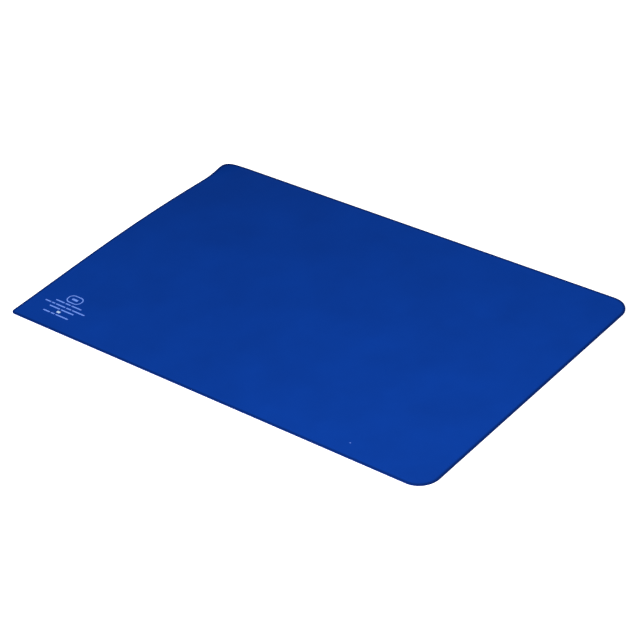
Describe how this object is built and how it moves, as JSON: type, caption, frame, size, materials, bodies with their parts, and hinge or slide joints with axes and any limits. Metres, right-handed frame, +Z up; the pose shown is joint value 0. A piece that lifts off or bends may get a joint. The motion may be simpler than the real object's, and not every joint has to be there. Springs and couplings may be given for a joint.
{
  "type": "esd tray liner",
  "caption": "Thin rectangular sheet of static-dissipative rubber with rounded corners that lines a parts tray or bench top.",
  "frame": {"origin": "middle of the underside, on the surface that the sheet lies on", "axes": "+X along the long side away from the printed end, +Y along the short side away from the printed corner, +Z up out of the working face"},
  "size_m": [0.6096, 0.4064, 0.0087],
  "materials": {
    "dissipative_rubber": "smooth matt rubber sheet, dark blue"
  },
  "bodies": {
    "root": {"liner_sheet": "dissipative_rubber"}
  },
  "joints": []
}
